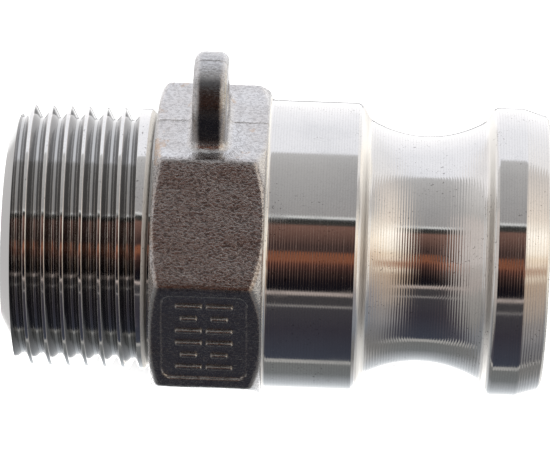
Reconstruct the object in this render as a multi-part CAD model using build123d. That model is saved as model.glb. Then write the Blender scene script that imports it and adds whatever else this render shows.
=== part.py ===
from build123d import *
import os
from math import cos, radians, sqrt, tan

# Cam and groove plug with a male pipe thread, size DN25: one stainless casting, machined at both ends.
# Millimetres. X runs along the bore, from the thread's end face at X = 0 to the sealing face.
# Z is up: the plug lies on one flat of its octagonal wrench band.

# Through bore
LENGTH = 68.0
BORE_RADIUS = 12.0
BORE_CHAMFER = 1.0

# Parallel pipe thread G1: 11 threads per inch, right-handed, 55 degrees between flanks
THREAD_RADIUS = 33.249 / 2
THREAD_PITCH = 2.309
THREAD_DEPTH = 1.479
THREAD_FLANK_ANGLE = 27.5
THREAD_ROOT_WIDTH = 0.385
THREAD_TURNS = 8
THREAD_START_X = -1.48
THREAD_CUT_CLEARANCE = 0.08
THREAD_SEAM_TURN = 37.0
NOSE_RADIUS = 13.5
NOSE_LENGTH = 1.65
LAND_END_X = 17.72
LAND_FOOT_X = 18.4
RELIEF_RADIUS = 15.9

# Octagonal wrench band
BAND_START_X = 18.8
BAND_END_X = 32.8
BAND_ACROSS_FLATS = 38.5
BAND_CORNER_ROUNDING = 1.0
BAND_START_CHAMFER_RADIUS = 19.15
BAND_START_CHAMFER_ANGLE = 31.0
BAND_END_CHAMFER_RADIUS = 19.4
BAND_END_CHAMFER_ANGLE = 42.0

# Turned shoulder, collar, cam groove and flange
SHOULDER_RADIUS = 18.95
COLLAR_RADIUS = 18.35
COLLAR_START_X = 33.4
COLLAR_END_X = 44.0
COLLAR_EDGE_RADIUS = 2.4
GROOVE_ENTRY_X = 45.3
GROOVE_BOTTOM_X = 52.7
GROOVE_BOTTOM_RADIUS = 14.4
GROOVE_ARC_RADIUS = 14.0
GROOVE_EXIT_X = 60.3
FLANGE_CORNER_X = 60.7
FLANGE_CORNER_RADIUS = 1.1
FLANGE_LAND_END_X = 64.9
FLANGE_NOSE_X = 67.7
FLANGE_NOSE_RADIUS = 17.5
FLANGE_FACE_RADIUS = 17.15

# Chain lug, on the flat between +Y and +Z
LUG_X = 25.6
LUG_THICKNESS = 4.3
LUG_RADIUS = 5.8
LUG_EYE_HEIGHT = 3.6
LUG_EYE_RADIUS = 2.1
LUG_EDGE_ROUNDING = 1.1
LUG_BASE_FILLET = 0.9
LUG_TURN = -45.0

# Marking panel, sunk in the flat between -Y and +Z, with two columns of raised bars
PANEL_X = 25.75
PANEL_LENGTH = 10.6
PANEL_WIDTH = 13.2
PANEL_CORNER_RADIUS = 1.2
PANEL_DEPTH = 0.35
PANEL_TURN = 45.0
BAR_WIDTH = 0.6
BAR_SPACING = 1.95
BAR_LENGTHS = (3.4, 2.2, 3.4, 3.4, 2.2, 3.4)
BAR_COLUMN_OFFSET = 1.9

FLAT_RADIUS = BAND_ACROSS_FLATS / 2
SINK = 1.0


def turned(outline):
    """The solid that a closed outline, drawn as radius against X, sweeps round the bore axis."""
    return revolve(make_face(outline), Axis.X, 360)


def thread_blank():
    """The nose chamfer, the cylinder at the thread's crests, the land's chamfer and the relief behind it."""
    return turned(Polyline(
        (0, 0),
        (0, NOSE_RADIUS),
        (NOSE_LENGTH, THREAD_RADIUS),
        (LAND_END_X, THREAD_RADIUS),
        (LAND_FOOT_X, RELIEF_RADIUS),
        (BAND_START_X + SINK, RELIEF_RADIUS),
        (BAND_START_X + SINK, 0),
        close=True,
    ))


def thread_groove():
    """The cutter that leaves the thread: a flat-rooted V, swept along a right-handed helix."""
    root_radius = THREAD_RADIUS - THREAD_DEPTH
    top_radius = THREAD_RADIUS + THREAD_CUT_CLEARANCE
    half_root = THREAD_ROOT_WIDTH / 2
    half_top = half_root + (top_radius - root_radius) * tan(radians(THREAD_FLANK_ANGLE))
    section = make_face(Plane.XZ * Polyline(
        (root_radius, half_root),
        (top_radius, half_top),
        (top_radius, -half_top),
        (root_radius, -half_root),
        close=True,
    ))
    path = Helix(THREAD_PITCH, THREAD_PITCH * THREAD_TURNS, root_radius)
    groove = sweep(section, path=path, is_frenet=True)
    return Pos(THREAD_START_X, 0, 0) * Rot(0, 90, 0) * groove


def threaded_end():
    """The thread, on a blank whose seam is turned away from the groove's two ends."""
    return Rot(THREAD_SEAM_TURN, 0, 0) * thread_blank() - thread_groove()


def cam_end():
    """The fillet from the band, the collar, the cam groove and the sealing flange."""
    arc_centre = GROOVE_BOTTOM_RADIUS + GROOVE_ARC_RADIUS

    def on_groove_arc(x):
        return x, arc_centre - sqrt(GROOVE_ARC_RADIUS ** 2 - (x - GROOVE_BOTTOM_X) ** 2)

    core = (BAND_END_X - SINK, 0)
    shoulder_back = (BAND_END_X - SINK, SHOULDER_RADIUS)
    shoulder = (BAND_END_X, SHOULDER_RADIUS)
    collar_start = (COLLAR_START_X, COLLAR_RADIUS)
    collar_end = (COLLAR_END_X, COLLAR_RADIUS)
    groove_entry = on_groove_arc(GROOVE_ENTRY_X)
    groove_exit = on_groove_arc(GROOVE_EXIT_X)
    corner = (FLANGE_CORNER_X, COLLAR_RADIUS - FLANGE_CORNER_RADIUS)
    land_start = (FLANGE_CORNER_X + FLANGE_CORNER_RADIUS, COLLAR_RADIUS)
    land_end = (FLANGE_LAND_END_X, COLLAR_RADIUS)
    nose = (FLANGE_NOSE_X, FLANGE_NOSE_RADIUS)
    face = (LENGTH, FLANGE_FACE_RADIUS)
    return turned([
        Polyline((LENGTH, 0), core, shoulder_back, shoulder),
        RadiusArc(shoulder, collar_start, -(COLLAR_START_X - BAND_END_X)),
        Line(collar_start, collar_end),
        RadiusArc(collar_end, groove_entry, COLLAR_EDGE_RADIUS),
        ThreePointArc(groove_entry, (GROOVE_BOTTOM_X, GROOVE_BOTTOM_RADIUS), groove_exit),
        Line(groove_exit, corner),
        RadiusArc(corner, land_start, FLANGE_CORNER_RADIUS),
        Polyline(land_start, land_end, nose, face, (LENGTH, 0)),
    ])


def wrench_band():
    """The octagon, with rounded corners and a turned chamfer at each end."""
    octagon = Rot(0, 0, 22.5) * RegularPolygon(FLAT_RADIUS, 8, major_radius=False)
    octagon = fillet(octagon.vertices(), BAND_CORNER_ROUNDING)
    prism = Pos(BAND_START_X, 0, 0) * extrude(Plane.YZ * octagon, BAND_END_X - BAND_START_X, dir=(1, 0, 0))
    outside = FLAT_RADIUS + 2 * SINK
    start_chamfer = (outside - BAND_START_CHAMFER_RADIUS) * tan(radians(BAND_START_CHAMFER_ANGLE))
    end_chamfer = (outside - BAND_END_CHAMFER_RADIUS) * tan(radians(BAND_END_CHAMFER_ANGLE))
    envelope = turned(Polyline(
        (BAND_START_X, 0),
        (BAND_START_X, BAND_START_CHAMFER_RADIUS),
        (BAND_START_X + start_chamfer, outside),
        (BAND_END_X - end_chamfer, outside),
        (BAND_END_X, BAND_END_CHAMFER_RADIUS),
        (BAND_END_X, 0),
        close=True,
    ))
    return prism & envelope


def chain_lug():
    """A round-topped tab on the topmost flat, rounded along both rims."""
    base = FLAT_RADIUS - SINK
    eye = FLAT_RADIUS + LUG_EYE_HEIGHT
    outline = Pos(0, (base + eye) / 2) * Rectangle(2 * LUG_RADIUS, eye - base) + Pos(0, eye) * Circle(LUG_RADIUS)
    tab = extrude(Plane.YZ * outline, LUG_THICKNESS / 2, both=True)
    rims = [
        edge for edge in tab.edges()
        if edge.center().Z > base + 0.01 and abs(abs(edge.center().X) - LUG_THICKNESS / 2) < 0.01
    ]
    return Pos(LUG_X, 0, 0) * fillet(rims, LUG_EDGE_ROUNDING)


def lug_eye():
    """The cutter for the round hole through the lug."""
    length = 2 * LUG_THICKNESS
    hole = Rot(0, 90, 0) * Cylinder(LUG_EYE_RADIUS, length)
    return Pos(LUG_X, 0, FLAT_RADIUS + LUG_EYE_HEIGHT) * hole


def panel_recess():
    """The cutter for the marking panel's sunk floor."""
    outline = RectangleRounded(PANEL_LENGTH, PANEL_WIDTH, PANEL_CORNER_RADIUS)
    return Pos(PANEL_X, 0, FLAT_RADIUS - PANEL_DEPTH) * extrude(outline, 2 * PANEL_DEPTH)


def panel_bars():
    """Two columns of raised bars, which stand on the panel's floor and stop level with the flat."""
    bars = []
    for side in (-1, 1):
        for row, length in enumerate(BAR_LENGTHS):
            y = (row - (len(BAR_LENGTHS) - 1) / 2) * BAR_SPACING
            x = PANEL_X + side * BAR_COLUMN_OFFSET
            outline = SlotOverall(length, BAR_WIDTH)
            bars.append(Pos(x, y, FLAT_RADIUS - 2 * PANEL_DEPTH) * extrude(outline, 2 * PANEL_DEPTH))
    return bars


def bore():
    """The cutter for the through bore, with a chamfer at the sealing face."""
    return turned(Polyline(
        (0, 0),
        (0, BORE_RADIUS),
        (LENGTH - BORE_CHAMFER, BORE_RADIUS),
        (LENGTH, BORE_RADIUS + BORE_CHAMFER),
        (LENGTH, 0),
        close=True,
    ))


def lug_seam(band):
    """The edges where the lug's sides meet the topmost flat."""
    return [
        edge for edge in band.edges()
        if abs(edge.center().Z - FLAT_RADIUS) < 0.01
        and abs(edge.center().X - LUG_X) < LUG_THICKNESS / 2 + 0.01
        and abs(edge.center().Y) < LUG_RADIUS + 0.01
    ]


def casting():
    """The band with its lug and marking panel, as cast."""
    band = wrench_band() + chain_lug()
    band = fillet(lug_seam(band), LUG_BASE_FILLET) - lug_eye()
    band = Rot(LUG_TURN, 0, 0) * band
    to_panel = Rot(PANEL_TURN, 0, 0)
    band = band - to_panel * panel_recess()
    return band + [to_panel * bar for bar in panel_bars()]


def adapter_body():
    """The whole plug."""
    return casting() + threaded_end() + cam_end() - bore()


os.makedirs("parts", exist_ok=True)
export_step(adapter_body(), "parts/adapter_body.step")
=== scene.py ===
from math import atan2, cos, hypot, pi, radians, sin, sqrt, tan

import bmesh
import bpy
import numpy as np
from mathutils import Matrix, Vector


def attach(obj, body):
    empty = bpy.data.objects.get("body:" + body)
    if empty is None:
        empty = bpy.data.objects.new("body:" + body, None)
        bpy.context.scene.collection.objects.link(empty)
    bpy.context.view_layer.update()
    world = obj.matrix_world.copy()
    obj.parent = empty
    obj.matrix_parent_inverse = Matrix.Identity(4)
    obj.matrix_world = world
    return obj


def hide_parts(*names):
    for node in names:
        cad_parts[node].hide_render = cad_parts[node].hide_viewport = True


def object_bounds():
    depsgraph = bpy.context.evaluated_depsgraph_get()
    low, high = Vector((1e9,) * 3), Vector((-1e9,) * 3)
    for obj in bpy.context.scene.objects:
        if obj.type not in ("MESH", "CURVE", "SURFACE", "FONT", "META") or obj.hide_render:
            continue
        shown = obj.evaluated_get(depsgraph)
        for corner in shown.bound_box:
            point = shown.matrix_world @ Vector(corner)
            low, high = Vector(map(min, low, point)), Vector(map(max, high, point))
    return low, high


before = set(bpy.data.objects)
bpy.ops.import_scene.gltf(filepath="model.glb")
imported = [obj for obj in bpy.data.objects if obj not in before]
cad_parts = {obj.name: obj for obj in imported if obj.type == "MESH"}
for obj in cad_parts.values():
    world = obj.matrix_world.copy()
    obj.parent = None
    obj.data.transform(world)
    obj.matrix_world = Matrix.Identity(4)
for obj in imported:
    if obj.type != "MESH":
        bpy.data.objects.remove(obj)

import openvdb
from mathutils import Matrix, Vector

# A cam and groove plug: one casting, shown as four closed meshes. They are the machined thread end, the cast
# wrench band with its lug, the raised bars of the band's marking panel, and the machined cam end.
# X runs along the bore from the thread end. Z is up, and the part lies on a flat of its octagon. The lug is
# on the flat between +Y and +Z, and the panel is sunk in the flat between -Y and +Z.
# Sizes are in millimetres until a mesh is made.

MM = 0.001
DIAGONAL = sqrt(0.5)
CAD_LOW, CAD_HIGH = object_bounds()
LENGTH = CAD_HIGH.x / MM
FLAT_RADIUS = -CAD_LOW.z / MM

BORE_RADIUS = 12.0
BORE_CHAMFER = 1.0
SEAM_X = 25.7

THREAD_RADIUS = 33.249 / 2
THREAD_PITCH = 2.309
THREAD_DEPTH = 1.479
THREAD_FLANK = radians(27.5)
THREAD_ROOT_WIDTH = 0.385
THREAD_START_X = -1.48
THREAD_TURNS = 8
ROOT_ROUNDING = 0.2
CREST_ROUNDING_OUTER = 0.13
CREST_ROUNDING_INNER = 0.05
CREST_SLOPE = radians(9)
CUTTER_OVERLAP = 0.1
RUN_OUT_TURNS = 0.4
RUN_OUT_CLEARANCE = 0.05
NOSE_RADIUS = 13.5
NOSE_LENGTH = 1.65
LAND_END_X = 17.72
LAND_FOOT_X = 18.4
RELIEF_RADIUS = 15.9

BAND_START_X = 18.8
BAND_END_X = 32.8
BAND_START_CHAMFER_RADIUS = 19.15
BAND_START_CHAMFER_ANGLE = radians(31.0)
BAND_END_CHAMFER_RADIUS = 19.4
BAND_END_CHAMFER_ANGLE = radians(42.0)
CORNER_SOFTNESS = 0.2
START_CHAMFER_ROUNDING = 0.4
START_FACE_ROUNDING = 0.3
END_CHAMFER_ROUNDING = 0.35
END_FACE_ROUNDING = 0.1

SHOULDER_RADIUS = 18.95
SHOULDER_OVERLAP = 0.1
COLLAR_RADIUS = 18.35
COLLAR_START_X = 33.4
COLLAR_END_X = 44.0
COLLAR_EDGE_RADIUS = 2.4
GROOVE_ENTRY_X = 45.3
GROOVE_BOTTOM_X = 52.7
GROOVE_BOTTOM_RADIUS = 14.4
GROOVE_ARC_RADIUS = 14.0
GROOVE_EXIT_X = 60.3
GROOVE_SMOOTHING = 0.45
FLANGE_CORNER_X = 60.7
FLANGE_CORNER_RADIUS = 1.1
FLANGE_LAND_END_X = 64.9
FLANGE_NOSE_X = 67.7
FLANGE_NOSE_RADIUS = 17.5
FLANGE_FACE_RADIUS = 17.15

LUG_X = 25.6
LUG_THICKNESS = 4.3
LUG_RADIUS = 5.8
LUG_EYE_HEIGHT = 3.6
LUG_EYE_RADIUS = 2.1
LUG_EYE_ROUNDING = 0.35
LUG_EDGE_ROUNDING = 1.15
LUG_BASE_FILLET = 1.0
LUG_FOOT_DEPTH = 3.0

PANEL_X = 25.75
PANEL_LENGTH = 10.6
PANEL_WIDTH = 13.2
PANEL_CORNER_RADIUS = 1.2
PANEL_DEPTH = 0.35
PANEL_DRAFT = 0.4
PANEL_RIM_ROUNDING = 0.12
PANEL_CUT_HEIGHT = 2.0
BAR_WIDTH = 0.6
BAR_SPACING = 1.95
BAR_LENGTHS = (3.4, 2.2, 3.4, 3.4, 2.2, 3.4)
BAR_COLUMN_OFFSET = 1.9
# Each ring of points on a bar, from the foot to the softened top: how far it stands out, and its height
BAR_RINGS = (
    (0.06, -PANEL_DEPTH - 0.3),
    (0.06, -PANEL_DEPTH + 0.02),
    (0.0, -0.20),
    (-0.04, -0.11),
    (-0.11, -0.05),
    (-0.20, -0.02),
)


# ---------------------------------------------------------------- camera

VIEW_ELEVATION = radians(84.0)
VIEW_ROLL = radians(2.06)
VIEW_DISTANCE = 451.0
VIEW_FOOT_X = 43.4
VIEW_YAW = radians(1.216)
VIEW_PITCH = radians(0.349)
LENS = 231.3
TO_CAMERA = Vector((0, -cos(VIEW_ELEVATION), sin(VIEW_ELEVATION)))
VIEW_UP = Vector((0, sin(VIEW_ELEVATION), cos(VIEW_ELEVATION)))


def make_camera():
    """A long lens, almost square to the axis, a little clockwise of level."""
    along = Vector((1, 0, 0))
    right = along * cos(VIEW_ROLL) + VIEW_UP * sin(VIEW_ROLL)
    up = VIEW_UP * cos(VIEW_ROLL) - along * sin(VIEW_ROLL)
    back = (TO_CAMERA + right * tan(VIEW_YAW) - up * tan(VIEW_PITCH)).normalized()
    right = (right - back * right.dot(back)).normalized()
    up = back.cross(right)
    data = bpy.data.cameras.new("camera")
    data.lens = LENS
    data.clip_start = 0.05
    data.clip_end = 20
    camera = bpy.data.objects.new("camera", data)
    place = (Vector((VIEW_FOOT_X, 0, 0)) + TO_CAMERA * VIEW_DISTANCE) * MM
    camera.matrix_world = Matrix.Translation(place) @ Matrix((right, up, back)).transposed().to_4x4()
    bpy.context.scene.collection.objects.link(camera)
    bpy.context.scene.camera = camera


# ---------------------------------------------------------------- mesh helpers

ROUNDING_STEPS = 5
LATHE_STEPS = 288


def finish_object(name, mesh, materials, sharp_angle=30.0):
    """Links a mesh as a piece, smooth except across edges sharper than the angle in degrees."""
    for material in materials:
        mesh.materials.append(material)
    mesh.shade_smooth()
    mesh.set_sharp_from_angle(angle=radians(sharp_angle))
    obj = bpy.data.objects.new(name, mesh)
    bpy.context.scene.collection.objects.link(obj)
    return obj


def mesh_from(name, points, faces):
    """A mesh of points in metres and faces."""
    mesh = bpy.data.meshes.new(name)
    mesh.from_pydata(points, [], faces)
    mesh.update()
    return mesh


def turn_outwards(mesh):
    """Makes every face of a closed mesh face outwards."""
    bm = bmesh.new()
    bm.from_mesh(mesh)
    bmesh.ops.recalc_face_normals(bm, faces=bm.faces)
    bm.to_mesh(mesh)
    bm.free()


def ring_faces(here, there, count):
    """The faces between two closed rings of points, given the number of each ring's first point."""
    return [
        (here + j, here + (j + 1) % count, there + (j + 1) % count, there + j)
        for j in range(count)
    ]


def arc(centre, radius, start, end, steps):
    """Points on an arc in the outline plane; angles are from +X towards larger radius."""
    angles = np.linspace(start, end, steps + 1)
    return [(centre[0] + radius * cos(a), centre[1] + radius * sin(a)) for a in angles]


def rounded(corners):
    """A closed outline from (x, radius, rounding) corners, with an arc at each rounded corner."""
    out = []
    for i, (x, r, size) in enumerate(corners):
        if size == 0:
            out.append((x, r))
            continue
        here = Vector((x, r))
        back = (Vector(corners[i - 1][:2]) - here).normalized()
        onward = (Vector(corners[(i + 1) % len(corners)][:2]) - here).normalized()
        half = back.angle(onward) / 2
        reach = size / tan(half)
        centre = here + (back + onward).normalized() * (size / sin(half))
        first, last = here + back * reach - centre, here + onward * reach - centre
        begin, sweep = atan2(first.y, first.x), first.angle_signed(last)
        out += arc(centre, size, begin, begin - sweep, ROUNDING_STEPS)
    return out


def lathe(name, outline):
    """A closed outline of (x, radius) points turned round the X axis."""
    points = []
    faces = []
    count = len(outline)
    for i in range(LATHE_STEPS):
        a = 2 * pi * i / LATHE_STEPS
        points += [(x * MM, r * cos(a) * MM, r * sin(a) * MM) for x, r in outline]
        faces += ring_faces(i * count, (i + 1) % LATHE_STEPS * count, count)
    mesh = mesh_from(name, points, faces)
    turn_outwards(mesh)
    return mesh


# ---------------------------------------------------------------- the machined ends

STEPS_PER_TURN = 144
ROOT_STEPS = 6
COLLAR_EDGE_STEPS = 8
GROOVE_STEPS = 40
FLANGE_CORNER_STEPS = 10
SHOULDER_STEPS = 8
OUTLINE_SPACING = 0.12


def groove_section():
    """The thread groove's outline, as (x, radius) points, with a rounded root and eased crest edges."""
    root = THREAD_RADIUS - THREAD_DEPTH
    half = THREAD_ROOT_WIDTH / 2
    turn = pi / 2 - THREAD_FLANK
    flat = half - ROOT_ROUNDING * tan(turn / 2)
    edge = half + THREAD_DEPTH * tan(THREAD_FLANK)

    def side(crest_rounding):
        """One side, from halfway along the root's flat up to just above the crest."""
        points = [(flat * 0.5, root)]
        points += arc((flat, root + ROOT_ROUNDING), ROOT_ROUNDING, -pi / 2, -pi / 2 + turn, ROOT_STEPS)
        centre = (edge + crest_rounding * tan(turn / 2), THREAD_RADIUS - crest_rounding)
        ease = arc(centre, crest_rounding, pi - THREAD_FLANK, pi / 2 + CREST_SLOPE, ROUNDING_STEPS)
        low, high = Vector(points[-1]), Vector(ease[0])
        near_low, near_high = low.lerp(high, 0.06), low.lerp(high, 0.94)
        x, r = ease[-1]
        above = (x + CUTTER_OVERLAP, r + CUTTER_OVERLAP * tan(CREST_SLOPE))
        return points + [tuple(near_low), tuple(near_high)] + ease + [above]

    outer = [(-x, r) for x, r in side(CREST_ROUNDING_OUTER)]
    return outer[::-1] + [(0, root)] + side(CREST_ROUNDING_INNER)


def groove_cutter():
    """The thread's groove as a closed helical solid, which climbs out of the metal at its inner end."""
    section = groove_section()
    count = len(section)
    steps = THREAD_TURNS * STEPS_PER_TURN
    run_out = STEPS_PER_TURN * RUN_OUT_TURNS
    points = []
    for i in range(steps + 1):
        turn = i / STEPS_PER_TURN
        climb = max(0.0, (i - (steps - run_out)) / run_out)
        lift = (THREAD_DEPTH + RUN_OUT_CLEARANCE) * climb ** 2
        a = 2 * pi * turn - pi / 2
        x0 = THREAD_START_X + THREAD_PITCH * turn
        points += [((x0 + x) * MM, (r + lift) * cos(a) * MM, (r + lift) * sin(a) * MM) for x, r in section]
    faces = [tuple(range(count)), tuple(range(steps * count, (steps + 1) * count))[::-1]]
    for i in range(steps):
        here, there = i * count, (i + 1) * count
        for j in range(count):
            k = (j + 1) % count
            faces.append((here + j, there + j, there + k, here + k))
    mesh = mesh_from("groove_cutter", points, faces)
    turn_outwards(mesh)
    return mesh


def cut(mesh, cutter):
    """The mesh less the cutter."""
    target = bpy.data.objects.new("target", mesh)
    tool = bpy.data.objects.new("tool", cutter)
    for obj in (target, tool):
        bpy.context.scene.collection.objects.link(obj)
    modifier = target.modifiers.new("cut", "BOOLEAN")
    modifier.operation = "DIFFERENCE"
    modifier.solver = "EXACT"
    modifier.object = tool
    depsgraph = bpy.context.evaluated_depsgraph_get()
    result = bpy.data.meshes.new_from_object(target.evaluated_get(depsgraph), depsgraph=depsgraph)
    for obj in (target, tool):
        bpy.data.objects.remove(obj)
    return result


def thread_end_mesh():
    """The tube from the end face to the seam under the band, with the thread cut in it."""
    outline = rounded([
        (0, BORE_RADIUS, 0.15),
        (0, NOSE_RADIUS, 0.15),
        (NOSE_LENGTH, THREAD_RADIUS, 0),
        (LAND_END_X, THREAD_RADIUS, 0.1),
        (LAND_FOOT_X, RELIEF_RADIUS, 0.1),
        (SEAM_X, RELIEF_RADIUS, 0),
        (SEAM_X, BORE_RADIUS, 0),
    ])
    return cut(lathe("thread_end", outline), groove_cutter())


def collar_edge(end):
    """The arc from the collar's last point to the cam groove's first."""
    start = Vector((COLLAR_END_X, COLLAR_RADIUS))
    middle, half = (start + end) / 2, (end - start).length / 2
    inward = Vector((end.y - start.y, start.x - end.x)).normalized()
    centre = middle + inward * sqrt(COLLAR_EDGE_RADIUS ** 2 - half ** 2)
    first, last = start - centre, end - centre
    return arc(centre, COLLAR_EDGE_RADIUS, atan2(first.y, first.x), atan2(last.y, last.x), COLLAR_EDGE_STEPS)


def groove_outline():
    """The collar's rounded edge, the cam groove's long arc and the wall up to the flange's corner."""
    arc_centre = (GROOVE_BOTTOM_X, GROOVE_BOTTOM_RADIUS + GROOVE_ARC_RADIUS)

    def arc_angle(x):
        return -pi / 2 + np.arcsin((x - GROOVE_BOTTOM_X) / GROOVE_ARC_RADIUS)

    entry, exit_angle = arc_angle(GROOVE_ENTRY_X), arc_angle(GROOVE_EXIT_X)
    groove = arc(arc_centre, GROOVE_ARC_RADIUS, entry, exit_angle, GROOVE_STEPS)
    corner_centre = (FLANGE_CORNER_X + FLANGE_CORNER_RADIUS, COLLAR_RADIUS - FLANGE_CORNER_RADIUS)
    corner = arc(corner_centre, FLANGE_CORNER_RADIUS, pi, pi / 2, FLANGE_CORNER_STEPS)
    return smoothed(collar_edge(Vector(groove[0])) + groove[1:] + corner, GROOVE_SMOOTHING)


def smoothed(points, width):
    """An outline evened out over a width, so that its arcs run into each other; its ends stay put."""
    points = np.array(points)
    reach = np.concatenate(([0], np.cumsum(np.hypot(*np.diff(points, axis=0).T))))
    length = reach[-1]
    even = np.linspace(0, length, int(length / OUTLINE_SPACING) + 1)
    dense = np.column_stack([np.interp(even, reach, points[:, i]) for i in (0, 1)])
    out = []
    for place in even:
        room = min(place, length - place, 3 * width) / 3 + 1e-6
        weight = np.exp(-0.5 * ((even - place) / room) ** 2)
        out.append(tuple((dense * weight[:, None]).sum(axis=0) / weight.sum()))
    return out


def cam_end_mesh():
    """The shoulder, collar, cam groove and flange, with the bore to the seam under the band."""
    fillet = COLLAR_START_X - BAND_END_X
    shoulder = arc((COLLAR_START_X, COLLAR_RADIUS + fillet), fillet, pi, 1.5 * pi, SHOULDER_STEPS)
    back = BAND_END_X - SHOULDER_OVERLAP
    tail = rounded([
        (FLANGE_CORNER_X + FLANGE_CORNER_RADIUS, COLLAR_RADIUS, 0),
        (FLANGE_LAND_END_X, COLLAR_RADIUS, 0.6),
        (FLANGE_NOSE_X, FLANGE_NOSE_RADIUS, 0.25),
        (LENGTH, FLANGE_FACE_RADIUS, 0.12),
        (LENGTH, BORE_RADIUS + BORE_CHAMFER, 0.1),
        (LENGTH - BORE_CHAMFER, BORE_RADIUS, 0.2),
        (SEAM_X, BORE_RADIUS, 0),
        (SEAM_X, RELIEF_RADIUS, 0),
        (back, RELIEF_RADIUS, 0),
        (back, SHOULDER_RADIUS, 0),
    ])
    return lathe("cam_end", shoulder + groove_outline() + tail[1:])


# ---------------------------------------------------------------- the cast band and lug

VOXEL = 0.182
# The voxels' box, which goes a little past the band, its corners and its lug
FIELD_LOW = np.array((BAND_START_X - 0.5, -22.3, -22.3))
FIELD_HIGH = np.array((BAND_END_X + 0.5, 22.9, 22.9))
# The cast skin lies inside the field's surface: by a margin, a dip, and waves of given heights, sizes and
# seeds. It fades out below SKIN_START_RADIUS, and where a normal points back along X by START_FACING.
SKIN_MARGIN = 0.02
SKIN_DIP = 0.03
SKIN_WAVES = ((0.035, 5.0, 1), (0.008, 1.6, 2), (0.004, 0.8, 3))
SKIN_START_RADIUS = 18.2
SKIN_FADE = 0.6
START_FACING = 0.93
START_FACING_FADE = 0.1
FLAT_FACING = 0.3
PARTING_HEIGHT = 0.035
PARTING_WIDTH = 0.16
WAVE_COUNT = 14
BAR_END_STEPS = 10


def round_join(a, b, radius):
    """The distance to two shapes joined, with a fillet where they meet."""
    near = np.sqrt(np.maximum(radius - a, 0) ** 2 + np.maximum(radius - b, 0) ** 2)
    return np.maximum(radius, np.minimum(a, b)) - near


def round_common(a, b, radius):
    """The distance to what two shapes share, with its edge rounded."""
    far = np.sqrt(np.maximum(radius + a, 0) ** 2 + np.maximum(radius + b, 0) ** 2)
    return np.minimum(-radius, np.maximum(a, b)) + far


def octagon_distance(y, z):
    """Distance outside eight flats, softened where two of them meet."""
    total = np.zeros_like(y)
    largest = np.full_like(y, -1e3)
    for k in range(8):
        a = 2 * pi * k / 8
        flat = y * sin(a) + z * cos(a) - FLAT_RADIUS
        largest = np.maximum(largest, flat)
        total += np.maximum(flat + CORNER_SOFTNESS, 0) ** 2
    return np.where(total > 0, np.sqrt(total) - CORNER_SOFTNESS, largest)


def rectangle_distance(x, y, length, width, corner):
    """Distance outside a rounded rectangle."""
    qx = np.abs(x) - length / 2 + corner
    qy = np.abs(y) - width / 2 + corner
    outside = np.sqrt(np.maximum(qx, 0) ** 2 + np.maximum(qy, 0) ** 2)
    return outside + np.minimum(np.maximum(qx, qy), 0) - corner


def lug_distance(x, across, height):
    """A round-topped tab with rounded rims and an eye; height is above the flat."""
    above = np.maximum(height - LUG_EYE_HEIGHT, 0)
    outline = np.sqrt(across ** 2 + above ** 2) - LUG_RADIUS
    tab = round_common(outline, np.abs(x - LUG_X) - LUG_THICKNESS / 2, LUG_EDGE_ROUNDING)
    eye = np.sqrt(across ** 2 + (height - LUG_EYE_HEIGHT) ** 2) - LUG_EYE_RADIUS
    tab = round_common(tab, -eye, LUG_EYE_ROUNDING)
    return np.maximum(tab, -height - LUG_FOOT_DEPTH)


def recess_distance(x, across, height):
    """The marking panel's sunk space, with drafted sides; height is above the flat."""
    rim = rectangle_distance(x - PANEL_X, across, PANEL_LENGTH, PANEL_WIDTH, PANEL_CORNER_RADIUS)
    recess = np.maximum(rim + PANEL_DRAFT * (height + PANEL_DEPTH), -height - PANEL_DEPTH)
    return np.maximum(recess, height - PANEL_CUT_HEIGHT)


def band_field():
    """The distance field of the band, its lug and its marking panel."""
    counts = np.ceil((FIELD_HIGH - FIELD_LOW) / VOXEL).astype(int)
    axes = [FIELD_LOW[i] + VOXEL * np.arange(counts[i]) for i in range(3)]
    x, y, z = (g.astype(np.float32) for g in np.meshgrid(*axes, indexing="ij"))
    radius = np.sqrt(y ** 2 + z ** 2)
    start_chamfer = (radius - BAND_START_CHAMFER_RADIUS) * tan(BAND_START_CHAMFER_ANGLE)
    start_chamfer = (BAND_START_X - x + start_chamfer) * cos(BAND_START_CHAMFER_ANGLE)
    end_chamfer = (radius - BAND_END_CHAMFER_RADIUS) * tan(BAND_END_CHAMFER_ANGLE)
    end_chamfer = (x - BAND_END_X + end_chamfer) * cos(BAND_END_CHAMFER_ANGLE)
    field = octagon_distance(y, z)
    field = round_common(field, start_chamfer, START_CHAMFER_ROUNDING)
    field = round_common(field, BAND_START_X - x, START_FACE_ROUNDING)
    field = round_common(field, end_chamfer, END_CHAMFER_ROUNDING)
    field = round_common(field, x - BAND_END_X, END_FACE_ROUNDING)
    lug = lug_distance(x, (y - z) * DIAGONAL, (y + z) * DIAGONAL - FLAT_RADIUS)
    field = round_join(field, lug, LUG_BASE_FILLET)
    recess = recess_distance(x, (y + z) * DIAGONAL, (z - y) * DIAGONAL - FLAT_RADIUS)
    field = round_common(field, -recess, PANEL_RIM_ROUNDING)
    return np.maximum(field, RELIEF_RADIUS - radius)


def parting_ridge(points):
    """The mould's parting line, from 0 to 1, which wanders along the lug's flat and the one opposite."""
    across = (points[:, 1] - points[:, 2]) * DIAGONAL
    wander = 0.08 * np.sin(points[:, 0] * 1.3) + 0.05 * np.sin(points[:, 0] * 3.1)
    return np.exp(-(((across - wander) / PARTING_WIDTH) ** 2))


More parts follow.
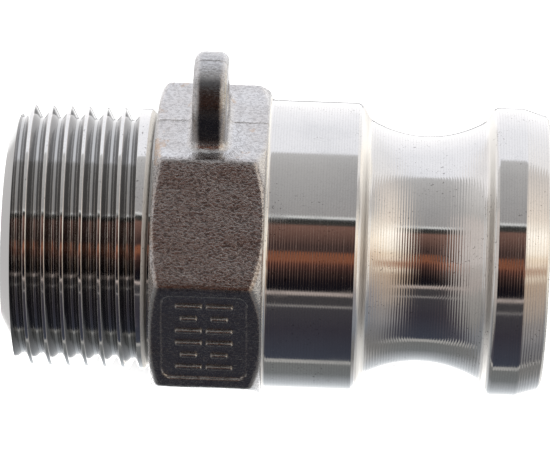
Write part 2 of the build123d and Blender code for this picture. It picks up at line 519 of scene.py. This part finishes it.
def waves(points, size, seed):
    """Smooth random waves between -1 and 1, about one size long."""
    rng = np.random.default_rng(seed)
    total = np.zeros(len(points))
    for _ in range(WAVE_COUNT):
        direction = rng.normal(size=3)
        direction *= 2 * pi / size * rng.uniform(0.6, 1.4) / np.linalg.norm(direction)
        total += np.sin(points @ direction + rng.uniform(0, 2 * pi))
    return np.clip(total / sqrt(WAVE_COUNT) / 1.6, -1, 1)


def skin_depth(points, normals):
    """How far the cast skin lies inside the field's surface: 0 on the start face and near the bore."""
    radius = np.hypot(points[:, 1], points[:, 2])
    outside = np.clip((radius - SKIN_START_RADIUS) / SKIN_FADE, 0, 1)
    off_start_face = np.clip((normals[:, 0] + START_FACING) / START_FACING_FADE, 0, 1)
    on_flats = np.abs(normals[:, 0]) < FLAT_FACING
    dip = np.full(len(points), SKIN_DIP)
    for height, size, seed in SKIN_WAVES:
        dip += height * waves(points, size, seed)
    ridge = PARTING_HEIGHT * parting_ridge(points) * on_flats
    return outside * off_start_face * (np.maximum(dip, 0) + SKIN_MARGIN - ridge)


def band_mesh():
    """The band as a closed mesh: the visible skin, closed by a plain sleeve inside."""
    grid = openvdb.FloatGrid()
    grid.copyFromArray(band_field().astype(np.float32))
    points, quads = grid.convertToQuads(0.0)
    points = FIELD_LOW + points * VOXEL
    mesh = mesh_from("wrench_band", points.tolist(), quads.tolist())
    turn_outwards(mesh)
    normals = np.empty(len(mesh.vertices) * 3)
    mesh.vertex_normals.foreach_get("vector", normals)
    normals = normals.reshape(-1, 3)
    points = points - normals * skin_depth(points, normals)[:, None]
    mesh.vertices.foreach_set("co", (points * MM).ravel())
    mesh.update()
    close_inside(mesh)
    return mesh


def close_inside(mesh):
    """Drops the voxel skin that the ends hide, and closes the gap with long plain faces."""
    sleeve_radius = RELIEF_RADIUS + 0.3
    sleeve_start_x = BAND_START_X + 1.0
    back_radius = SHOULDER_RADIUS - 0.5
    back_start_x = BAND_END_X - 0.15
    bm = bmesh.new()
    bm.from_mesh(mesh)
    hidden = []
    for face in bm.faces:
        centre = face.calc_center_median() / MM
        radius = hypot(centre.y, centre.z)
        on_sleeve = radius < sleeve_radius and centre.x > sleeve_start_x
        on_back = radius < back_radius and centre.x > back_start_x
        if on_sleeve or on_back:
            hidden.append(face)
    bmesh.ops.delete(bm, geom=hidden, context="FACES")
    rims = [edge for edge in bm.edges if edge.is_boundary]
    bmesh.ops.bridge_loops(bm, edges=rims)
    bmesh.ops.recalc_face_normals(bm, faces=bm.faces)
    bm.to_mesh(mesh)
    bm.free()


def panel_point(x, across, height):
    """A point over the marking panel's flat, in metres; height is above the flat."""
    radius = FLAT_RADIUS + height
    return x * MM, (across - radius) * DIAGONAL * MM, (across + radius) * DIAGONAL * MM


def bar_points(middle_x, middle, length):
    """The rings of points of one bar, from its foot up."""
    points = []
    for offset, height in BAR_RINGS:
        for end in (1, -1):
            centre = (end * (length - BAR_WIDTH) / 2, 0)
            first = -end * pi / 2
            for x, across in arc(centre, BAR_WIDTH / 2 + offset, first, first + pi, BAR_END_STEPS):
                points.append(panel_point(middle_x + x, middle + across, height))
    return points


def bar_faces(start):
    """The foot, top and sides of one bar, given the number of its first point."""
    count = 2 * (BAR_END_STEPS + 1)
    top = start + (len(BAR_RINGS) - 1) * count
    faces = [tuple(range(start, start + count)), tuple(range(top, top + count))[::-1]]
    for low in range(start, top, count):
        faces += ring_faces(low, low + count, count)
    return faces


def bars_mesh():
    """Two columns of raised bars on the panel's floor, each a closed solid with drafted sides."""
    points, faces = [], []
    for side in (-1, 1):
        for row, length in enumerate(BAR_LENGTHS):
            middle = (row - (len(BAR_LENGTHS) - 1) / 2) * BAR_SPACING
            faces += bar_faces(len(points))
            points += bar_points(PANEL_X + side * BAR_COLUMN_OFFSET, middle, length)
    mesh = mesh_from("marking_bars", points, faces)
    turn_outwards(mesh)
    return mesh


# ---------------------------------------------------------------- materials

# Colours, as linear red, green, blue and a full alpha
STEEL = (0.70, 0.685, 0.67, 1)
STAINED_STEEL = (0.64, 0.63, 0.62, 1)
FRECKLE = (0.34, 0.335, 0.34, 1)
FEED_LINE = (0.30, 0.29, 0.28, 1)
# Painted light: the paler colour of steep walls, for the light they catch from the sides
STEEP_WALL_PAINTED_LIGHT = (0.86, 0.84, 0.80, 1)
SEALING_FACE = (0.50, 0.49, 0.47, 1)
PIT = (0.12, 0.105, 0.10, 1)
# A darker tone below the thread's crests, down the flanks and roots
GROOVE_TONE = (0.44, 0.435, 0.43, 1)
# Painted shade on the relief floor, in the corner beside the band
RELIEF_PAINTED_SHADE = (0.36, 0.35, 0.34, 1)

CAST_SKIN = (0.63, 0.625, 0.63, 1)
CAST_PATCH = (0.56, 0.54, 0.53, 1)
GRIME = (0.30, 0.27, 0.255, 1)
# Painted shade in the hollows of the cast ripples
HOLLOW_PAINTED_SHADE = (0.25, 0.24, 0.24, 1)
RUST = (0.46, 0.30, 0.18, 1)
# Painted shade on the lug
LUG_PAINTED_SHADE = (0.09, 0.09, 0.095, 1)
# Painted shade on the flat that holds the panel
PANEL_PAINTED_SHADE = (0.30, 0.29, 0.28, 1)
# Painted shade on the top flat, and darker still in its ripples' hollows
TOP_FLAT_PAINTED_SHADE = (0.36, 0.325, 0.315, 1)
TOP_FLAT_HOLLOW_SHADE = (0.11, 0.10, 0.10, 1)


class Nodes:
    """A material's node tree, with short calls for what every material here needs."""

    def __init__(self, name):
        self.material = bpy.data.materials.new(name)
        self.material.use_nodes = True
        self.tree = self.material.node_tree
        self.tree.nodes.clear()
        self.shader = self.add("ShaderNodeBsdfPrincipled")
        self.shader.inputs["Metallic"].default_value = 1.0
        output = self.add("ShaderNodeOutputMaterial")
        self.link(self.shader.outputs["BSDF"], output.inputs["Surface"])
        coordinates = self.add("ShaderNodeTexCoord")
        self.place = coordinates.outputs["Object"]
        self.facing = coordinates.outputs["Normal"]
        self.x, self.y, self.z = self.split(self.place)

    def add(self, kind, **settings):
        """A new node of a kind."""
        node = self.tree.nodes.new(kind)
        for key, value in settings.items():
            setattr(node, key, value)
        return node

    def link(self, source, target):
        self.tree.links.new(source, target)

    def put(self, socket, value):
        """Sets a socket to a number or links it to an output."""
        if isinstance(value, bpy.types.NodeSocket):
            self.link(value, socket)
        else:
            socket.default_value = value

    def split(self, vector):
        """A vector's three numbers."""
        node = self.add("ShaderNodeSeparateXYZ")
        self.link(vector, node.inputs[0])
        return tuple(node.outputs)

    def maths(self, operation, a, b=0.0, c=0.0):
        node = self.add("ShaderNodeMath", operation=operation)
        for socket, value in zip(node.inputs, (a, b, c)):
            self.put(socket, value)
        return node.outputs[0]

    def times(self, a, b):
        return self.maths("MULTIPLY", a, b)

    def noise(self, size_mm, detail=2.0, roughness=0.5, vector=None, distortion=0.0):
        """Noise from 0 to 1 whose spots are about a size across."""
        node = self.add("ShaderNodeTexNoise")
        self.put(node.inputs["Vector"], vector or self.place)
        node.inputs["Scale"].default_value = 1 / (size_mm * MM)
        node.inputs["Detail"].default_value = detail
        node.inputs["Roughness"].default_value = roughness
        node.inputs["Distortion"].default_value = distortion
        return node.outputs["Fac"]

    def ramp(self, value, low, high, out_low=0.0, out_high=1.0):
        """A smooth step from one number to another as a value goes from low to high."""
        node = self.add("ShaderNodeMapRange", interpolation_type="SMOOTHSTEP")
        settings = {"Value": value, "From Min": low, "From Max": high, "To Min": out_low, "To Max": out_high}
        for name, setting in settings.items():
            self.put(node.inputs[name], setting)
        return node.outputs["Result"]

    def ramp_mm(self, value, low_mm, high_mm, out_low=0.0, out_high=1.0):
        """A smooth step over a length given in millimetres."""
        return self.ramp(value, low_mm * MM, high_mm * MM, out_low, out_high)

    def mix(self, factor, a, b):
        """A colour between a, at a factor of 0, and b, at 1."""
        node = self.add("ShaderNodeMix", data_type="RGBA")
        self.put(node.inputs[0], factor)
        self.put(node.inputs[6], a)
        self.put(node.inputs[7], b)
        return node.outputs[2]

    def tint(self, base, mask, amount, colour):
        """A base colour with an amount of another where a mask is 1."""
        return self.mix(self.times(mask, amount), base, colour)

    def bump(self, height_mm):
        """A bump whose height is given in millimetres."""
        node = self.add("ShaderNodeBump")
        node.inputs["Distance"].default_value = MM
        node.inputs["Strength"].default_value = 1.0
        self.put(node.inputs["Height"], height_mm)
        return node.outputs["Normal"]

    def stretched(self, scale):
        """The place, scaled along each axis; a small scale draws a texture out along that axis."""
        node = self.add("ShaderNodeMapping")
        self.link(self.place, node.inputs["Vector"])
        node.inputs["Scale"].default_value = scale
        return node.outputs["Vector"]

    def diagonal(self, operation, a, b):
        """The place halfway between the directions a and b (ADD), or a and the opposite of b (SUBTRACT)."""
        return self.times(self.maths(operation, a, b), DIAGONAL)

    def finish(self, colour, height_mm, roughness):
        """Links the shader's inputs and returns the material."""
        self.link(colour, self.shader.inputs["Base Color"])
        self.link(self.bump(height_mm), self.shader.inputs["Normal"])
        self.link(roughness, self.shader.inputs["Roughness"])
        return self.material


def turned_lines(nodes, pitch_mm):
    """The lathe's feed lines round the X axis: 0 in the middle of each shallow scoop, 1 on its ridges."""
    drift = nodes.noise(1.2, vector=nodes.stretched((1.0, 0.04, 0.04)))
    along = nodes.maths("MULTIPLY_ADD", drift, 0.3 * MM, nodes.x)
    scoop = nodes.maths("FRACT", nodes.maths("DIVIDE", along, pitch_mm * MM))
    scoop = nodes.maths("ABSOLUTE", nodes.maths("MULTIPLY_ADD", scoop, 2.0, -1.0))
    return nodes.times(scoop, scoop)


def steepness(nodes):
    """1 where the surface faces nearly along the axis, 0 elsewhere."""
    along = nodes.split(nodes.facing)[0]
    return nodes.ramp(nodes.maths("ABSOLUTE", along), 0.55, 0.8)


def pits(nodes):
    """Small pits, in clusters."""
    cluster = nodes.ramp(nodes.noise(5.0), 0.50, 0.62)
    return nodes.times(nodes.ramp(nodes.noise(0.30), 0.645, 0.70), cluster)


def thread_tone(nodes, tone, steep):
    """The tone, darker in the thread's grooves and with painted shade on the relief, and the steep mask on
    the land's end.
    """
    past_thread = nodes.ramp_mm(nodes.x, LAND_END_X - 0.5, LAND_END_X - 0.2)
    from_axis = nodes.add("ShaderNodeVectorMath", operation="LENGTH")
    nodes.link(nodes.stretched((0.0, 1.0, 1.0)), from_axis.inputs[0])
    radius = from_axis.outputs["Value"]
    upper = nodes.ramp_mm(radius, RELIEF_RADIUS + 0.15, RELIEF_RADIUS + 0.4)
    groove = nodes.ramp_mm(radius, THREAD_RADIUS - 0.35, THREAD_RADIUS - 0.1, 1.0, 0.0)
    # Darker below the thread's crests, as far as the land's end
    groove_darkening = nodes.times(groove, nodes.maths("SUBTRACT", 1.0, past_thread))
    # Painted shade: the relief floor beside the band is darker, for the shade in that corner
    foot = nodes.times(past_thread, nodes.maths("SUBTRACT", 1.0, upper))
    tone = nodes.mix(groove_darkening, tone, GROOVE_TONE)
    tone = nodes.mix(foot, tone, RELIEF_PAINTED_SHADE)
    return tone, nodes.times(steep, nodes.times(past_thread, upper))


def machined_material(name, pitch_mm, slope, roughness, threaded=False):
    """Bright turned stainless: feed lines, fine scratches round the axis, faint stains and pits.

    The slope is how steep the feed lines get at their ridges. Steep walls are duller, and paler as painted
    light from the sides. A thread's grooves are darker in colour.
    """
    nodes = Nodes(name)
    stain = nodes.ramp(nodes.noise(7.0, detail=4.0, roughness=0.6), 0.42, 0.7)
    freckle = nodes.ramp(nodes.noise(0.16), 0.45, 0.75)
    scoop = turned_lines(nodes, pitch_mm)
    steep = steepness(nodes)
    tone = nodes.mix(stain, STEEL, STAINED_STEEL)
    tone = nodes.tint(tone, freckle, 0.22, FRECKLE)
    if threaded:
        tone, steep = thread_tone(nodes, tone, steep)
    else:
        tone = nodes.tint(tone, scoop, 0.15, FEED_LINE)
    # Painted light: steep walls, and the land's end, are paler in colour
    tone = nodes.mix(steep, tone, STEEP_WALL_PAINTED_LIGHT)
    sealing_face = nodes.ramp_mm(nodes.x, LENGTH - 0.25, LENGTH - 0.05, 0.0, 0.75)
    tone = nodes.mix(sealing_face, tone, SEALING_FACE)
    tone = nodes.tint(tone, pits(nodes), 0.7, PIT)
    hairs = nodes.noise(0.07, vector=nodes.stretched((1.0, 0.02, 0.02)))
    height = nodes.times(scoop, slope * pitch_mm / 4)
    height = nodes.maths("MULTIPLY_ADD", hairs, 0.003, height)
    polish = nodes.ramp(stain, 0.0, 1.0, roughness, roughness + 0.05)
    return nodes.finish(tone, height, nodes.maths("MULTIPLY_ADD", steep, 0.33, polish))


def painted_lug_shade(nodes, up_lug, across_lug):
    """Painted shade on the lug, darkest halfway through its thickness on the rim towards the panel."""
    lug_shade_amount = nodes.ramp_mm(up_lug, FLAT_RADIUS + 0.3, FLAT_RADIUS + 1.6, 0.0, 0.9)
    lug_shade_amount = nodes.times(lug_shade_amount, nodes.ramp_mm(across_lug, -3.5, -2.3, 1.0, 0.30))
    from_middle = nodes.maths("ABSOLUTE", nodes.maths("SUBTRACT", nodes.x, LUG_X * MM))
    return nodes.times(lug_shade_amount, nodes.ramp_mm(from_middle, 1.1, 1.7, 1.0, 0.3))


def parting_line_height(nodes, across_lug):
    """The mould's parting line: a thin ridge on the plane through the axis and the lug."""
    wander = nodes.maths("SUBTRACT", nodes.noise(2.0), 0.5)
    across = nodes.maths("MULTIPLY_ADD", wander, 0.5 * MM, across_lug)
    steep = nodes.maths("DIVIDE", across, 0.10 * MM)
    bell = nodes.maths("DIVIDE", 1.0, nodes.maths("MULTIPLY_ADD", steep, steep, 1.0))
    return nodes.times(bell, 0.06)


def cast_material():
    """Blasted casting skin: fine leathery ripples with painted shade in their hollows, and a little rust."""
    nodes = Nodes("cast_stainless")
    up_lug = nodes.diagonal("ADD", nodes.y, nodes.z)
    across_lug = nodes.diagonal("SUBTRACT", nodes.y, nodes.z)
    up_panel = nodes.diagonal("SUBTRACT", nodes.z, nodes.y)
    patch = nodes.ramp(nodes.noise(6.0, detail=3.0, roughness=0.6), 0.35, 0.68)
    grime = nodes.ramp(nodes.noise(0.42, detail=3.0, roughness=0.7), 0.48, 0.72)
    leather = nodes.noise(0.33, vector=nodes.stretched((0.8, 1.2, 1.2)), distortion=0.8)
    valley = nodes.ramp(leather, 0.40, 0.53, 1.0, 0.0)
    base = nodes.mix(patch, CAST_SKIN, CAST_PATCH)
    base = nodes.tint(base, grime, 0.30, GRIME)
    # Painted shade: the ripples' hollows, where the bump is lowest, are darker
    base = nodes.tint(base, valley, 0.42, HOLLOW_PAINTED_SHADE)
    near_start = nodes.ramp_mm(nodes.x, BAND_START_X + 0.6, BAND_START_X + 3.6, 0.08, 0.0)
    rust = nodes.maths("ADD", nodes.noise(2.6, detail=5.0, roughness=0.65), near_start)
    base = nodes.tint(base, nodes.ramp(rust, 0.62, 0.74), 0.55, RUST)
    # Painted shade: the lug is darkened, most on its rim towards the panel
    base = nodes.mix(painted_lug_shade(nodes, up_lug, across_lug), base, LUG_PAINTED_SHADE)
    # Painted shade: the flat with the panel is darker
    on_panel = nodes.ramp_mm(up_panel, FLAT_RADIUS - 0.8, FLAT_RADIUS - 0.3, 0.0, 0.85)
    base = nodes.mix(on_panel, base, PANEL_PAINTED_SHADE)
    # Painted shade: the top flat, away from the lug, is darkened, with darker hollows in its ripples
    on_top = nodes.ramp_mm(nodes.z, FLAT_RADIUS - 0.6, FLAT_RADIUS - 0.2)
    off_lug = nodes.ramp_mm(up_lug, FLAT_RADIUS + 0.1, FLAT_RADIUS + 0.6, 1.0, 0.0)
    on_top = nodes.times(on_top, off_lug)
    base = nodes.tint(base, on_top, 0.48, TOP_FLAT_PAINTED_SHADE)
    base = nodes.tint(base, on_top, nodes.times(valley, 0.56), TOP_FLAT_HOLLOW_SHADE)
    grain = nodes.noise(0.17, detail=1.0, roughness=0.6, distortion=0.4)
    height = nodes.maths("ADD", nodes.times(grain, 0.010), nodes.times(leather, 0.056))
    height = nodes.maths("ADD", height, parting_line_height(nodes, across_lug))
    return nodes.finish(base, height, nodes.ramp(grime, 0.0, 1.0, 0.22, 0.36))


# ---------------------------------------------------------------- the object

def turn_start_face(band):
    """Gives the band's start face, which is turned, its second material."""
    facing_start = -0.97
    deepest_x = BAND_START_X + 0.3
    for face in band.data.polygons:
        if face.normal.x < facing_start and face.center.x / MM < deepest_x:
            face.material_index = 1


def make_object():
    """The four pieces of the casting, which stand for its one CAD node."""
    thread_steel = machined_material("machined_thread", 0.24, 0.02, 0.08, threaded=True)
    turned_steel = machined_material("machined_stainless", 0.345, 0.13, 0.07)
    cast_steel = cast_material()
    thread_end = finish_object("thread_end", thread_end_mesh(), [thread_steel])
    cam_end = finish_object("cam_end", cam_end_mesh(), [turned_steel])
    band = finish_object("wrench_band_with_lug", band_mesh(), [cast_steel, turned_steel], sharp_angle=60)
    turn_start_face(band)
    bars = finish_object("marking_bars", bars_mesh(), [cast_steel], sharp_angle=50)
    slots = (
        (thread_end, "machined_steel"),
        (cam_end, "machined_steel"),
        (band, "cast_steel"),
        (bars, "cast_steel"),
    )
    for piece, slot in slots:
        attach(piece, "root")
        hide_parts("adapter_body")


# ---------------------------------------------------------------- the studio

# The share of light that the steel gives back, so that a row's colour is about what the steel shows
METAL_SHARE = 0.66
SURROUND_RADIUS = 1.2
SURROUND_ANGLE_STEP = 0.5
# The leans, in degrees, at which the surround has points
SURROUND_LEANS = (
    -89, -78, -70, -62, -45, -31, -28.5, -26, -20, -16, -12, -8, -4, 0, 1.4, 2,
    4, 8, 12, 15, 18.5, 21, 24, 27, 33, 38, 43, 50, 62, 75, 89,
)
# Away from square, the surround gets a veil of light, and its arches drop by up to ARCH_DROP degrees.
# TOP_LIGHT is what the thread's topmost edges mirror.
VEIL = np.array((0.07, 0.05, 0.042))
VEIL_START = 5.0
VEIL_SPAN = 12.0
ARCH_DROP = 8.0
TOP_LIGHT = 0.95

# What the bright metal mirrors, as (angle, red, green, blue). The angle goes round the axis, from the
# camera's side at 0 towards the top of the view at 90. Between two rows the colour changes evenly.
# LEANS says at which lean along the axis, in degrees, each set of rows is met. A lean below 0 is towards the
# thread, and one above 0 is towards the flange.
SQUARE = (
    (180, 0.22, 0.22, 0.225), (165.5, 0.22, 0.22, 0.225), (164, 0.97, 0.97, 0.99), (150, 0.94, 0.94, 0.96),
    (125, 0.85, 0.86, 0.90), (110, 0.78, 0.795, 0.84), (78, 0.76, 0.775, 0.82), (76.5, 0.44, 0.44, 0.445),
    (61, 0.37, 0.368, 0.37), (40, 0.32, 0.318, 0.32), (22.9, 0.29, 0.285, 0.285), (22.3, 0.62, 0.63, 0.63),
    (21.0, 0.60, 0.61, 0.61), (20.4, 0.02, 0.022, 0.022), (16, 0.03, 0.03, 0.028), (15, 0.15, 0.082, 0.065),
    (8, 0.105, 0.058, 0.047), (0, 0.042, 0.026, 0.024), (-4.6, 0.038, 0.025, 0.024),
    (-5.8, 0.19, 0.070, 0.038), (-12, 0.17, 0.062, 0.034), (-14.5, 0.055, 0.024, 0.02),
    (-21, 0.02, 0.011, 0.010), (-28, 0.005, 0.004, 0.006), (-36.8, 0.005, 0.005, 0.008),
    (-37.5, 0.36, 0.31, 0.29), (-39.8, 0.34, 0.29, 0.27), (-40.5, 0.042, 0.04, 0.043),
    (-48.2, 0.04, 0.038, 0.042), (-48.8, 0.24, 0.225, 0.22), (-49.8, 0.20, 0.19, 0.19),
    (-50.4, 0.042, 0.04, 0.046), (-70, 0.032, 0.030, 0.040), (-103, 0.040, 0.046, 0.064),
    (-104, 0.32, 0.32, 0.31), (-107.6, 0.32, 0.32, 0.315), (-108.4, 0.14, 0.145, 0.145),
    (-125, 0.15, 0.16, 0.165), (-137, 0.31, 0.33, 0.35), (-149, 0.50, 0.53, 0.56), (-160, 0.80, 0.82, 0.84),
    (-166, 1.8, 1.8, 1.8), (-180, 1.8, 1.8, 1.8),
)
CAM_NEAR = (
    (180, 0.34, 0.34, 0.345), (170, 0.34, 0.34, 0.345), (168, 0.95, 0.95, 0.95), (110, 0.80, 0.80, 0.82),
    (80, 0.76, 0.75, 0.75), (75, 0.56, 0.53, 0.51), (30, 0.73, 0.65, 0.57), (20, 0.95, 0.88, 0.78),
    (16, 1.05, 0.99, 0.90), (0, 0.92, 0.85, 0.74), (-6, 0.78, 0.66, 0.52), (-12, 0.74, 0.62, 0.50),
    (-15, 0.42, 0.28, 0.20), (-19, 0.45, 0.32, 0.24), (-22, 0.72, 0.62, 0.50), (-28, 0.42, 0.32, 0.24),
    (-60, 0.32, 0.28, 0.25), (-65, 0.25, 0.23, 0.22), (-82, 0.22, 0.215, 0.22), (-90, 0.17, 0.17, 0.18),
    (-120, 0.18, 0.175, 0.17), (-140, 0.45, 0.45, 0.45), (-160, 0.80, 0.80, 0.80), (-180, 0.9, 0.9, 0.9),
)
CAM_FAR = (
    (180, 0.5, 0.5, 0.5), (166, 0.95, 0.88, 0.76), (120, 0.90, 0.85, 0.77), (80, 0.76, 0.75, 0.75),
    (75, 0.50, 0.48, 0.47), (50, 0.47, 0.455, 0.44), (30, 0.72, 0.66, 0.58), (21, 0.78, 0.70, 0.60),
    (11, 0.88, 0.77, 0.63), (0, 0.78, 0.66, 0.53), (-8, 0.62, 0.48, 0.36), (-17, 0.55, 0.44, 0.34),
    (-37, 0.44, 0.37, 0.31), (-60, 0.25, 0.24, 0.25), (-95, 0.18, 0.20, 0.23), (-120, 0.18, 0.20, 0.23),
    (-145, 0.20, 0.21, 0.22), (-155, 0.55, 0.57, 0.60), (-165, 0.75, 0.75, 0.75), (-180, 0.8, 0.8, 0.8),
)
CAM_POLE = (
    (180, 0.85, 0.73, 0.52), (140, 0.85, 0.73, 0.52), (125, 0.20, 0.18, 0.16), (85, 0.20, 0.18, 0.16),
    (70, 0.85, 0.84, 0.82), (-20, 0.80, 0.76, 0.70), (-50, 0.82, 0.80, 0.76), (-115, 0.88, 0.83, 0.74),
    (-140, 0.90, 0.78, 0.58), (-180, 0.85, 0.73, 0.52),
)
THREAD_POLE = (
    (180, 0.72, 0.67, 0.65), (140, 0.72, 0.67, 0.65), (125, 0.16, 0.155, 0.15), (85, 0.16, 0.155, 0.15),
    (70, 0.55, 0.55, 0.55), (-115, 0.50, 0.50, 0.51), (-140, 0.72, 0.67, 0.65), (-180, 0.72, 0.67, 0.65),
)
THREAD_SIDE = (
    (180, 0.60, 0.59, 0.59), (150, 0.62, 0.61, 0.61), (120, 0.75, 0.74, 0.75), (80, 0.75, 0.74, 0.75),
    (75, 0.58, 0.57, 0.57), (40, 0.42, 0.41, 0.40), (35, 0.51, 0.47, 0.45), (-15, 0.50, 0.46, 0.44),
    (-20, 0.40, 0.37, 0.35), (-45, 0.37, 0.33, 0.31), (-50, 0.31, 0.295, 0.28), (-85, 0.21, 0.205, 0.20),
    (-97, 0.18, 0.185, 0.20), (-120, 0.18, 0.19, 0.20), (-145, 0.45, 0.45, 0.46), (-160, 0.60, 0.59, 0.59),
    (-180, 0.60, 0.59, 0.59),
)
LEANS = (
    (-90, THREAD_POLE), (-70, THREAD_POLE), (-62, THREAD_SIDE), (-31, THREAD_SIDE), (-26, SQUARE),
    (18.5, SQUARE), (27, CAM_NEAR), (43, CAM_NEAR), (50, CAM_FAR), (62, CAM_FAR), (75, CAM_POLE),
    (90, CAM_POLE),
)


def sample_rows(rows, angle):
    """The colour at an angle, from rows in order of falling angle."""
    angles = [-row[0] for row in rows]
    return np.array([np.interp(-angle, angles, [row[i] for row in rows]) for i in (1, 2, 3)])


def square_colour(angle, lean):
    """The colour met nearly square to the axis, lighter and with lower arches away from square."""
    away = min(1.0, max(0.0, abs(lean) - VEIL_START) / VEIL_SPAN) ** 2
    away *= np.interp(angle, (-34, -24, 14, 22), (0.25, 1, 1, 0.1))
    drop = ARCH_DROP * away * np.interp(angle, (-37, -30, -3, 8), (0, 1, 1, 0))
    colour = sample_rows(SQUARE, angle + drop) + VEIL * away
    over_crests = np.interp(angle, (160, 165), (0, 1)) * np.interp(lean, (-6.5, -3.5), (1, 0))
    over_flanks = np.interp(angle, (169, 172), (0, 1)) * np.interp(lean, (1.4, 2.0), (0, 1))
    light = max(over_crests, over_flanks)
    return colour * (1 - light) + TOP_LIGHT * light


def rows_colour(rows, angle, lean):
    """The colour that one set of rows gives at an angle and a lean."""
    if rows is SQUARE:
        return square_colour(angle, lean)
    return sample_rows(rows, angle)


def surround_colour(angle, lean):
    """The colour at an angle round the axis and a lean along it."""
    for (low, below), (high, above) in zip(LEANS, LEANS[1:]):
        if lean <= high:
            break
    share = (lean - low) / (high - low)
    return rows_colour(below, angle, lean) * (1 - share) + rows_colour(above, angle, lean) * share


def surround_mesh():
    """A ball with its poles on the axis, whose points carry the surround's colours."""
    angles = np.arange(-180, 180, SURROUND_ANGLE_STEP)
    middle = Vector((LENGTH / 2 * MM, 0, 0))
    points, colours = [], []
    for angle in angles:
        outward = TO_CAMERA * cos(radians(angle)) + VIEW_UP * sin(radians(angle))
        for lean in SURROUND_LEANS:
            tilt = radians(lean)
            points.append(middle + (outward * cos(tilt) + Vector((sin(tilt), 0, 0))) * SURROUND_RADIUS)
            colours.append((*surround_colour(angle, lean) / METAL_SHARE, 1.0))
    count, rows = len(SURROUND_LEANS), len(angles)
    faces = []
    for i in range(rows):
        here, there = i * count, (i + 1) % rows * count
        faces += [(here + j, here + j + 1, there + j + 1, there + j) for j in range(count - 1)]
    faces.append([i * count for i in range(rows)])
    faces.append([i * count + count - 1 for i in range(rows)])
    mesh = mesh_from("surround", points, faces)
    attribute = mesh.color_attributes.new("light", "FLOAT_COLOR", "POINT")
    attribute.data.foreach_set("color", np.array(colours).ravel())
    return mesh


def surround_material():
    """Emission in the colours that the mesh carries."""
    material = bpy.data.materials.new("surround_light")
    material.use_nodes = True
    tree = material.node_tree
    tree.nodes.clear()
    source = tree.nodes.new("ShaderNodeVertexColor")
    source.layer_name = "light"
    light = tree.nodes.new("ShaderNodeEmission")
    output = tree.nodes.new("ShaderNodeOutputMaterial")
    tree.links.new(source.outputs["Color"], light.inputs["Color"])
    tree.links.new(light.outputs["Emission"], output.inputs["Surface"])
    material.cycles.emission_sampling = "NONE"
    return material


def make_surround():
    """A ball of light round the part, which only reflections see."""
    mesh = surround_mesh()
    mesh.materials.append(surround_material())
    surround = bpy.data.objects.new("surround", mesh)
    bpy.context.scene.collection.objects.link(surround)
    surround.visible_camera = False
    surround.visible_diffuse = False
    surround.visible_transmission = False
    surround.visible_volume_scatter = False
    surround.visible_shadow = False


def make_floor():
    """A pale floor that the part lies on, left out of its reflections."""
    size = 6.0
    height = CAD_LOW.z
    corners = [(-size, -size, height), (size, -size, height), (size, size, height), (-size, size, height)]
    floor = bpy.data.objects.new("floor", mesh_from("floor", corners, [(0, 1, 2, 3)]))
    material = bpy.data.materials.new("floor_paper")
    material.use_nodes = True
    shader = material.node_tree.nodes["Principled BSDF"]
    shader.inputs["Base Color"].default_value = (0.9, 0.9, 0.9, 1)
    shader.inputs["Roughness"].default_value = 1.0
    shader.inputs["Specular IOR Level"].default_value = 0.0
    floor.data.materials.append(material)
    bpy.context.scene.collection.objects.link(floor)
    floor.visible_glossy = False


def make_lights():
    """An even white sky and one broad soft lamp, neither of which shows in reflections."""
    world = bpy.data.worlds.new("world")
    bpy.context.scene.world = world
    world.use_nodes = True
    sky = world.node_tree.nodes["Background"]
    sky.inputs["Color"].default_value = (1, 1, 1, 1)
    sky.inputs["Strength"].default_value = 1.3
    world.cycles_visibility.glossy = False
    lamp_height = 1.1
    lamp = bpy.data.lights.new("soft_lamp", "AREA")
    lamp.shape = "DISK"
    lamp.size = 1.0
    lamp.energy = 18.0
    holder = bpy.data.objects.new("soft_lamp", lamp)
    holder.location = (LENGTH / 2 * MM, 0, lamp_height)
    holder.visible_glossy = False
    bpy.context.scene.collection.objects.link(holder)
    bpy.context.scene.view_settings.view_transform = "Standard"


make_camera()
make_object()
make_surround()
make_floor()
make_lights()
